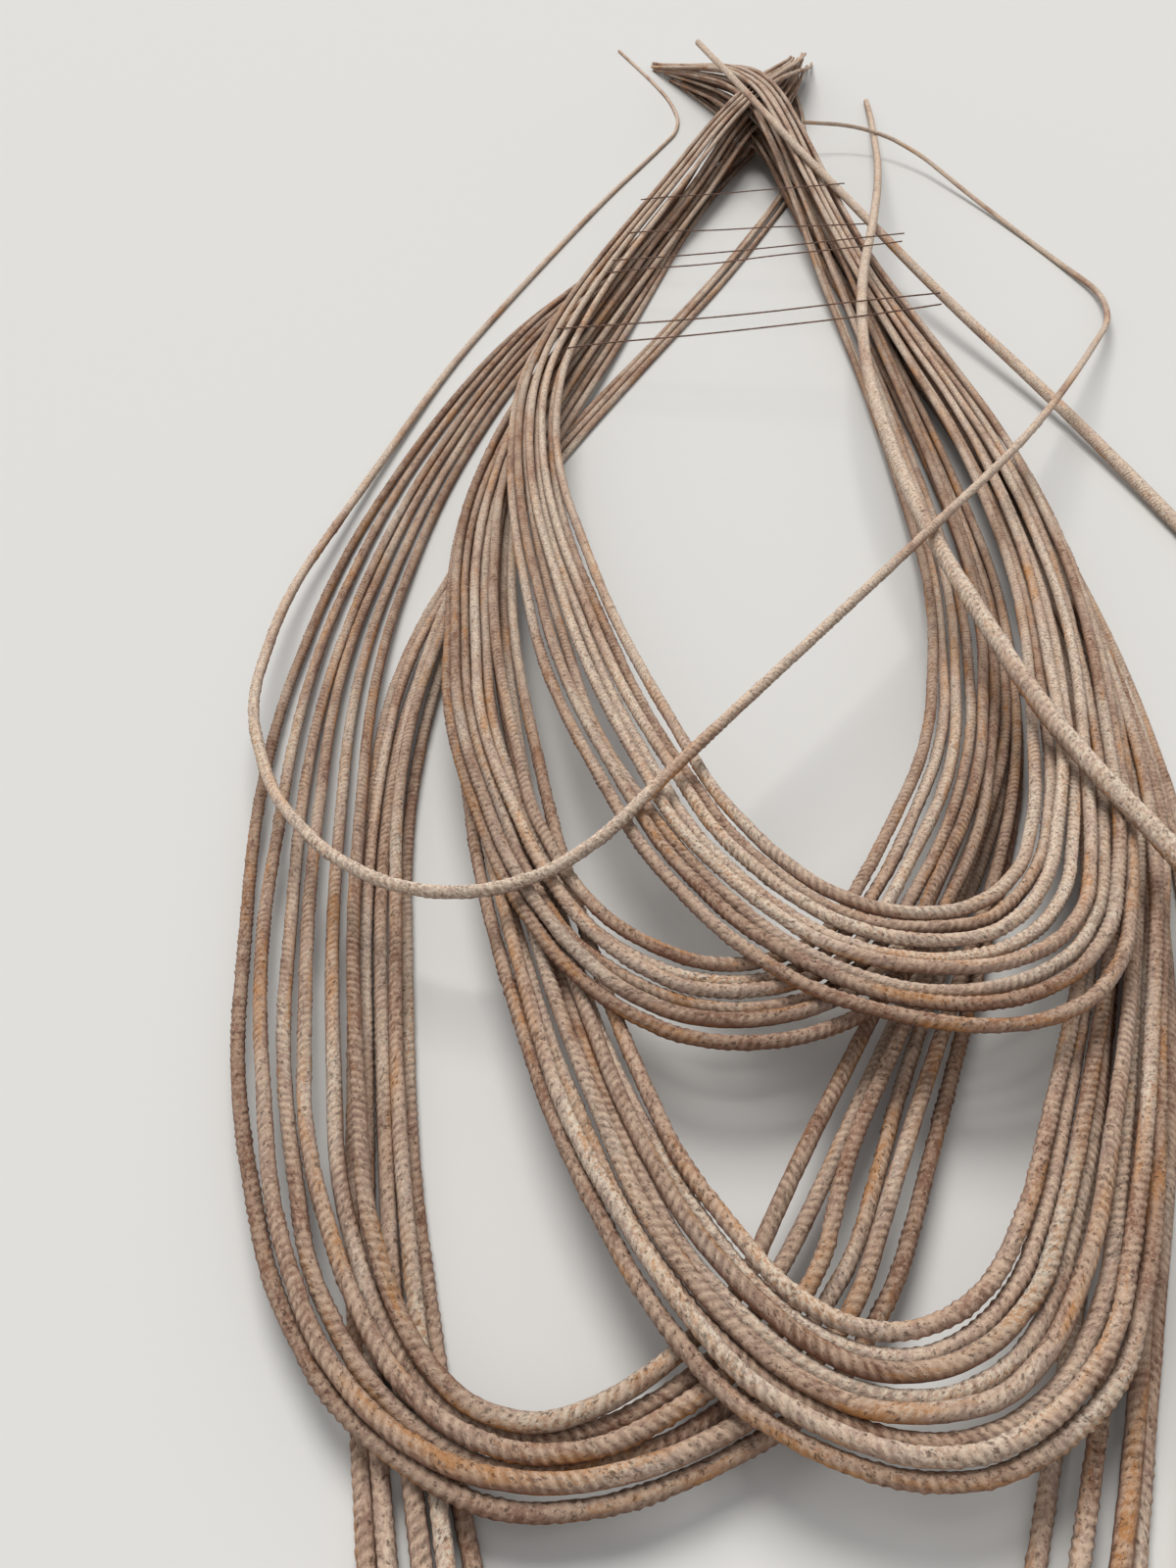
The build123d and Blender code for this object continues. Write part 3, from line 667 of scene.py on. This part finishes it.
def ribs_and_pits(tree, bar, given):
    """The bar with its skin moved: leaning ribs worn away in patches and chipped, two seams, and rust."""
    beside, above = kept(tree, "beside"), kept(tree, "above")
    across = times(tree, beside, given["Radius"])
    up = times(tree, above, given["Radius"])
    skin = put(tree, "ShaderNodeCombineXYZ", {0: kept(tree, "along"), 1: across, 2: up}).outputs[0]
    bar = stored(tree, bar, "skin", skin)

    seed = times(tree, kept(tree, "bar"), seed_spread)
    patches = mottle(tree, skin, seed, scale=13.0, detail=3.0, rough=0.6)
    wear = mottle(tree, skin, seed, scale=150.0, detail=3.0, rough=0.5)
    left = ranged(tree, patches, low=0.38, high=0.58, least=0.3)
    left = times(tree, left, ranged(tree, wear, low=0.38, high=0.56, least=0.4))
    crescent = times(tree, calc(tree, "POWER", calc(tree, "ABSOLUTE", above), rib_fade), left)
    bar = stored(tree, bar, "ribbed", crescent)

    rib = times(tree, minus(tree, times(tree, kept(tree, "crest"), crescent), rib_sink), given["Rib height"])
    seam = calc(tree, "POWER", calc(tree, "ABSOLUTE", beside), seam_sharpness)
    seam = times(tree, seam, given["Seam height"])
    rough = times(tree, minus(tree, wear, 0.5), pitting_swing, given["Pitting"])
    rise = calc(tree, "ADD", calc(tree, "ADD", rib, seam), rough)
    slant = times(tree, beside, given["Lean"], given["Radius"])
    surface = put(tree, "GeometryNodeInputPosition").outputs[0]
    outwards = calc_vector(tree, "NORMALIZE", calc_vector(tree, "SUBTRACT", surface, kept(tree, "centre")))
    offset = calc_vector(
        tree, "ADD", scaled(tree, outwards, rise), scaled(tree, kept(tree, "ahead"), slant)
    )
    return put(tree, "GeometryNodeSetPosition", {"Geometry": bar, "Offset": offset}).outputs[0]


def bar_tree():
    """Turns lines into ribbed bars."""
    tree = bpy.data.node_groups.new("Ribbed bar", "GeometryNodeTree")
    face = tree.interface
    face.new_socket("Line", in_out="INPUT", socket_type="NodeSocketGeometry")
    for name in ("Radius", "Step", "Rib height", "Seam height", "Lean", "Pitting"):
        face.new_socket(name, in_out="INPUT", socket_type="NodeSocketFloat")
    face.new_socket("Sides", in_out="INPUT", socket_type="NodeSocketInt")
    face.new_socket("Material", in_out="INPUT", socket_type="NodeSocketMaterial")
    face.new_socket("Bar", in_out="OUTPUT", socket_type="NodeSocketGeometry")
    given = put(tree, "NodeGroupInput").outputs

    bar = ribs_and_pits(tree, plain_bar(tree, given), given)
    bar = put(tree, "GeometryNodeSetShadeSmooth", {"Geometry": bar}).outputs[0]
    for name in ("centre", "ahead", "across", "beside", "above"):
        bar = put(tree, "GeometryNodeRemoveAttribute", {"Geometry": bar, "Name": name}).outputs[0]
    bar = put(tree, "GeometryNodeRealizeInstances", {"Geometry": bar}).outputs[0]
    bar = put(tree, "GeometryNodeSetMaterial", {"Geometry": bar, "Material": given["Material"]}).outputs[0]
    put(tree, "NodeGroupOutput", {"Bar": bar})
    return tree


def line_mesh(name, stretches):
    """Edges along each stretch of a bar, with what the bar tree reads at every point."""
    mesh = bpy.data.meshes.new(name)
    counts = np.cumsum([0] + [len(stretch["points"]) for stretch in stretches])
    edges = [(i, i + 1) for start, end in zip(counts, counts[1:]) for i in range(start, end - 1)]
    mesh.from_pydata(np.vstack([s["points"] for s in stretches]).tolist(), edges, [])
    for key in ("along", "bar"):
        layer = mesh.attributes.new(key, "FLOAT", "POINT")
        layer.data.foreach_set("value", np.concatenate([s[key] for s in stretches]))
    layer = mesh.attributes.new("across", "FLOAT_VECTOR", "POINT")
    layer.data.foreach_set("vector", np.vstack([s["across"] for s in stretches]).ravel())
    return mesh


def grown(name, stretches, material, radius, step, sides, rib=0.0, seam=0.0, lean=0.0, pitting=0.0):
    """The plain mesh that the bar tree makes along some stretches."""
    carrier = bpy.data.objects.new(name, line_mesh(name, stretches))
    bpy.context.scene.collection.objects.link(carrier)
    tree = bpy.data.node_groups.get("Ribbed bar") or bar_tree()
    modifier = carrier.modifiers.new("Bars", "NODES")
    modifier.node_group = tree
    keys = {item.name: item.identifier for item in tree.interface.items_tree if item.in_out == "INPUT"}
    values = {
        "Radius": radius,
        "Step": step,
        "Rib height": rib,
        "Seam height": seam,
        "Lean": lean,
        "Pitting": pitting,
        "Sides": sides,
        "Material": material,
    }
    for key, value in values.items():
        modifier[keys[key]] = value
    bpy.context.view_layer.update()
    mesh = bpy.data.meshes.new_from_object(carrier.evaluated_get(bpy.context.evaluated_depsgraph_get()))
    bpy.data.objects.remove(carrier)
    return mesh


def joined(name, meshes):
    """One object of several meshes."""
    pieces = [bpy.data.objects.new(f"{name}.{i}", mesh) for i, mesh in enumerate(meshes)]
    for piece in pieces:
        bpy.context.scene.collection.objects.link(piece)
    if len(pieces) > 1:
        with bpy.context.temp_override(active_object=pieces[0], selected_editable_objects=pieces):
            bpy.ops.object.join()
    pieces[0].name = name
    pieces[0].data.name = name
    return pieces[0]


# The coil


def stretches_of(path, bar, draw, watched, seam_up=False):
    """A bar's line as stretches near to the camera and far from it, lapping a little."""
    ahead = np.gradient(path, axis=0)
    ahead /= np.linalg.norm(ahead, axis=1)[:, None]
    along = np.concatenate([[0], np.cumsum(np.linalg.norm(np.diff(path, axis=0), axis=1))])
    side = np.cross(ahead, (0, 0, 1))
    side /= np.linalg.norm(side, axis=1)[:, None]
    twist = np.sin(along * draw.uniform(*twist_rate) + draw.uniform(0, math.tau))
    if seam_up:
        roll = math.pi / 2 + seam_up_swing * twist
    else:
        roll = draw.uniform(0, math.tau) + twist_swing * twist
    across = np.cos(roll)[:, None] * side + np.sin(roll)[:, None] * np.cross(side, ahead)
    eye = np.array(bpy.context.scene.camera.location)
    near = np.linalg.norm(path - eye, axis=1) < watched
    cuts = [0] + [i for i in range(1, len(path)) if near[i] != near[i - 1]] + [len(path)]
    for start, end in zip(cuts, cuts[1:]):
        part = slice(max(0, start - stretch_lap), min(len(path), end + stretch_lap))
        size = len(path[part])
        if size >= shortest_stretch:
            yield bool(near[start]), {
                "points": path[part],
                "along": along[part],
                "bar": np.full(size, bar),
                "across": across[part],
            }


def dressed(context, node):
    """A node's bars with their ribs cut where the camera is near, and left to the finish elsewhere."""
    shape = context.scene.coil_shape
    draw = random.Random(node)
    near, far = [], []
    thick = node == "thick_bar"
    for path, diameter in coil_paths()[node]:
        bar = draw.uniform(*weathering[node])
        for close, stretch in stretches_of(path, bar, draw, shape.ribbed_range, seam_up=thick):
            (near if close else far).append(stretch)
    radius = diameter / 2 + shape.crust
    material = finish(context, "Rusty bar", rusty_bar)
    meshes = []
    if near:
        # On a thicker bar the ribs are higher as it is thicker, and further apart as the root of that
        scale = diameter / (bar_diameter / 1000)
        meshes.append(
            grown(
                node + "_near",
                near,
                material,
                radius,
                step=shape.rib_pitch / 2 * scale**0.5,
                sides=shape.sides + (thick_more_sides if thick else 0),
                rib=shape.rib_height * scale,
                seam=shape.seam_height * scale * (thick_seam if thick else 1),
                lean=shape.lean,
                pitting=shape.pitting,
            )
        )
    if far:
        sides = shape.sides - far_fewer_sides
        meshes.append(grown(node + "_far", far, material, radius, shape.plain_step, sides))
    piece = joined(node + "_ribbed", meshes)
    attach(piece, "root")
    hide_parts(node)
    return piece


# Finishes


def kept_in_skin(tree, name):
    """Reads what the bar tree kept on every point."""
    output = "Vector" if name in KEPT_VECTORS else "Fac"
    return put(tree, "ShaderNodeAttribute", attribute_name=name).outputs[output]


def squeezed(tree, skin, along, around):
    """A place on a bar's skin with its two directions scaled, which draws a noise out or shortens it."""
    return calc_vector(tree, "MULTIPLY", skin, (along, around, around))


def finish(context, name, surface_of):
    """A material by its name, made when it is first asked for from what surface_of gives its shader."""
    if name in bpy.data.materials:
        return bpy.data.materials[name]
    material = bpy.data.materials.new(name)
    material.use_nodes = True
    tree = material.node_tree
    tree.nodes.clear()
    surface = put(tree, "ShaderNodeBsdfPrincipled", surface_of(context, tree))
    put(tree, "ShaderNodeOutputMaterial", {"Surface": surface.outputs[0]})
    return material


def rusty_bar(context, tree):
    """Rust that follows each bar: mauve and red-brown stretches, ochre streaks, pits, dust on top, a painted
    highlight on crests that face up, and painted shade in rib valleys and on undersides.
    """
    colours, shape = context.scene.coil_colours, context.scene.coil_shape
    skin, bar, plain = (kept_in_skin(tree, name) for name in ("skin", "bar", "plain"))
    seed = times(tree, bar, seed_spread)

    # Ribs: cut into the mesh where the camera is near, and painted elsewhere
    along, beside = put(tree, "ShaderNodeSeparateXYZ", {0: skin}).outputs[:2]
    slanted = minus(tree, along, times(tree, beside, shape.lean))
    wave = calc(tree, "SINE", times(tree, slanted, math.tau / shape.rib_pitch))
    painted = ranged(tree, wave, low=-1.0)
    crest = put(tree, "ShaderNodeMix", {0: plain, 2: kept_in_skin(tree, "crest"), 3: painted}).outputs[0]
    ribbed = kept_in_skin(tree, "ribbed")
    valley = times(tree, minus(tree, 1.0, crest), ribbed)

    stretches = mottle(tree, squeezed(tree, skin, along=1.0, around=4.0), seed, scale=4.0)
    streaks = mottle(tree, squeezed(tree, skin, along=0.12, around=1.0), seed, scale=75.0, rough=0.6)
    blotches = mottle(tree, squeezed(tree, skin, along=0.5, around=1.0), seed, scale=105.0, rough=0.65)
    flecks = mottle(tree, skin, seed, scale=340.0, rough=0.75)
    elsewhere = calc_vector(tree, "ADD", skin, (3.0, 0.0, 0.0))
    specks = mottle(tree, elsewhere, seed, scale=290.0, rough=0.65)
    normal = put(tree, "ShaderNodeNewGeometry").outputs["Normal"]
    upward = put(tree, "ShaderNodeSeparateXYZ", {0: normal}).outputs[2]
    facing = eased(tree, upward, low=-0.2, high=0.95)
    below = minus(tree, 1.0, eased(tree, upward, low=-0.8, high=0.35))

    # A bar is either mostly red-brown or mostly weathered
    weathered = calc(tree, "ADD", stretches, times(tree, minus(tree, bar, 0.5), bar_difference))
    share = eased(tree, weathered, low=0.4, high=0.6)
    colour = mixed(tree, share, linear(colours.rust), linear(colours.mauve))

    # Ochre shows most near the damp floor and on the sides
    place = put(tree, "ShaderNodeTexCoord").outputs["Object"]
    height = put(tree, "ShaderNodeSeparateXYZ", {0: place}).outputs[2]
    dry = eased(tree, height, low=0.09, high=0.17)
    damp = minus(tree, ochre_near_floor, times(tree, dry, ochre_lost_higher))
    damp = minus(tree, damp, times(tree, facing, ochre_lost_on_top))
    ochre = times(tree, eased(tree, streaks, low=0.51, high=0.63), damp)
    colour = mixed(tree, ochre, colour, linear(colours.ochre))
    worn = times(tree, eased(tree, blotches, low=0.44, high=0.64), worn_cover)
    colour = mixed(tree, worn, colour, linear(colours.rust))

    # Dust lies on top and dried mud clings to weathered bars; crests that face up get a painted highlight
    dusty = ranged(tree, weathered, low=0.3, high=0.6, least=0.45)
    patchy = eased(tree, calc(tree, "ADD", blotches, flecks), low=0.84, high=1.1)
    dust = times(tree, facing, patchy, dusty, ranged(tree, crest, least=0.75), dust_cover)
    colour = mixed(tree, dust, colour, linear(colours.tan))
    flecked = eased(tree, flecks, low=0.46, high=0.56)
    mud = times(tree, eased(tree, weathered, low=0.5, high=0.64), flecked, mud_cover)
    colour = mixed(tree, mud, colour, linear(colours.pale))
    crest_highlight = times(tree, crest, ribbed, facing, crest_highlight_cover)
    colour = mixed(tree, crest_highlight, colour, linear(colours.tan))

    # Dark pits, plus the same dark colour as painted shade: rib valleys darken as dirt and painted shade,
    # and sides that face down darken as painted shade
    pits = times(tree, eased(tree, specks, low=0.53, high=0.67), pit_cover)
    dark = calc(tree, "MAXIMUM", pits, times(tree, valley, valley_shade))
    dark = calc(tree, "MAXIMUM", dark, times(tree, below, underside_shade))
    colour = mixed(tree, dark, colour, linear(colours.pit_and_shade))
    shade = ranged(tree, bar, least=darkest_bar, most=palest_bar)
    colour = put(tree, "ShaderNodeHueSaturation", {"Color": colour, "Value": shade}).outputs[0]

    relief = times(tree, minus(tree, flecks, times(tree, pits, pit_depth)), relief_height)
    ribs = times(tree, plain, crest, ribbed, shape.rib_height)
    bump = put(tree, "ShaderNodeBump", {"Height": calc(tree, "ADD", relief, ribs), "Distance": 1.0})
    return {
        "Base Color": colour,
        "Roughness": 0.9,
        "Specular IOR Level": 0.25,
        "Normal": bump.outputs[0],
    }


def tie_wire(context, tree):
    """Dull brown wire."""
    colours = context.scene.coil_colours
    skin = kept_in_skin(tree, "skin")
    seed = times(tree, kept_in_skin(tree, "bar"), seed_spread)
    spots = eased(tree, mottle(tree, skin, seed, scale=160.0, rough=0.6), low=0.4, high=0.65)
    grain = mottle(tree, skin, seed, scale=900.0, detail=3.0)
    bump = put(tree, "ShaderNodeBump", {"Height": grain, "Strength": 0.5, "Distance": 0.0003})
    return {
        "Base Color": mixed(tree, spots, linear(colours.wire), linear(colours.rust)),
        "Roughness": 0.72,
        "Metallic": 0.15,
        "Normal": bump.outputs[0],
    }


def pale_floor(context, tree):
    """Plain pale floor."""
    colour = linear(context.scene.coil_colours.floor)
    return {"Base Color": colour, "Roughness": 0.95, "Specular IOR Level": 0.1}


# Operators


class COIL_OT_stage(bpy.types.Operator):
    """Camera, soft light and a pale floor"""

    bl_idname = "coil.stage"
    bl_label = "Stage"

    def execute(self, context):
        scene = context.scene
        camera = bpy.data.objects.new("Camera", bpy.data.cameras.new("Camera"))
        camera.data.sensor_fit = "VERTICAL"
        camera.data.sensor_height = sensor_height
        camera.data.lens = sensor_height * focal_pixels / photo_height
        camera.data.clip_end = camera_reach
        camera.location = camera_spot
        camera.rotation_euler = (math.radians(90 - camera_pitch), 0.0, 0.0)
        scene.collection.objects.link(camera)
        scene.camera = camera

        sky = bpy.data.worlds.new("Soft sky")
        sky.use_nodes = True
        tree = sky.node_tree
        tree.nodes.clear()
        light = {"Color": sky_colour, "Strength": sky_strength}
        backdrop = {"Color": linear(context.scene.coil_colours.floor), "Strength": backdrop_strength}
        lit, seen = (put(tree, "ShaderNodeBackground", look).outputs[0] for look in (light, backdrop))
        ray = put(tree, "ShaderNodeLightPath").outputs
        shown = calc(tree, "MAXIMUM", ray["Is Glossy Ray"], ray["Is Transmission Ray"])
        shown = calc(tree, "MAXIMUM", shown, ray["Is Camera Ray"])
        shown = put(tree, "ShaderNodeMixShader", {0: shown, 1: lit, 2: seen}).outputs[0]
        put(tree, "ShaderNodeOutputWorld", {"Surface": shown})
        scene.world = sky
        for name, strength, spread, tilt, turn in suns:
            lamp = bpy.data.objects.new(name, bpy.data.lights.new(name, "SUN"))
            lamp.data.energy = strength
            lamp.data.angle = math.radians(spread)
            lamp.rotation_euler = (math.radians(tilt), 0.0, math.radians(turn))
            scene.collection.objects.link(lamp)

        mesh = bpy.data.meshes.new("Floor")
        corners = [(x * floor_half, y * floor_half, 0) for x, y in ((-1, -1), (1, -1), (1, 1), (-1, 1))]
        mesh.from_pydata(corners, [], [(0, 1, 2, 3)])
        mesh.materials.append(finish(context, "Pale floor", pale_floor))
        floor = bpy.data.objects.new("Floor", mesh)
        scene.collection.objects.link(floor)
        scene.view_settings.view_transform = "Standard"
        return {"FINISHED"}


class COIL_OT_bundles(bpy.types.Operator):
    """The five nested bundles of hairpins"""

    bl_idname = "coil.bundles"
    bl_label = "Bundles"

    def execute(self, context):
        for name, _ in BUNDLES:
            dressed(context, name)
        return {"FINISHED"}


class COIL_OT_loose_bars(bpy.types.Operator):
    """The thicker bar and the loose bar on top"""

    bl_idname = "coil.loose_bars"
    bl_label = "Loose bars"

    def execute(self, context):
        for name in ("thick_bar", "loose_bar"):
            dressed(context, name)
        return {"FINISHED"}


class COIL_OT_tie_wires(bpy.types.Operator):
    """The thin wires that lie across the legs"""

    bl_idname = "coil.tie_wires"
    bl_label = "Tie wires"

    def execute(self, context):
        draw = random.Random("tie wires")
        stretches = []
        for path, diameter in coil_paths()["tie_wires"]:
            stretches += [stretch for _, stretch in stretches_of(path, draw.random(), draw, 0.0)]
        material = finish(context, "Tie wire", tie_wire)
        mesh = grown(
            "tie_wires", stretches, material, diameter / 2, wire_step, wire_sides, pitting=wire_pitting
        )
        piece = joined("tie_wires_bent", [mesh])
        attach(piece, "root")
        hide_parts("tie_wires")
        return {"FINISHED"}


class COIL_PT_panel(bpy.types.Panel):
    """Lists the coil's makers"""

    bl_idname = "COIL_PT_panel"
    bl_label = "Coil"
    bl_space_type = "VIEW_3D"
    bl_region_type = "UI"
    bl_category = "Coil"

    def draw(self, context):
        for settings in (context.scene.coil_shape, context.scene.coil_colours):
            for key in settings.__annotations__:
                self.layout.prop(settings, key)
        for maker in MAKERS:
            self.layout.operator(maker.bl_idname)


MAKERS = (COIL_OT_stage, COIL_OT_bundles, COIL_OT_loose_bars, COIL_OT_tie_wires)
CLASSES = (CoilShape, CoilColours, *MAKERS, COIL_PT_panel)


def register():
    for kind in CLASSES:
        bpy.utils.register_class(kind)
    bpy.types.Scene.coil_shape = bpy.props.PointerProperty(type=CoilShape)
    bpy.types.Scene.coil_colours = bpy.props.PointerProperty(type=CoilColours)


def unregister():
    del bpy.types.Scene.coil_colours
    del bpy.types.Scene.coil_shape
    for kind in reversed(CLASSES):
        bpy.utils.unregister_class(kind)


def main():
    register()
    bpy.ops.coil.stage()
    bpy.ops.coil.bundles()
    bpy.ops.coil.loose_bars()
    bpy.ops.coil.tie_wires()


if __name__ == "__main__":
    main()
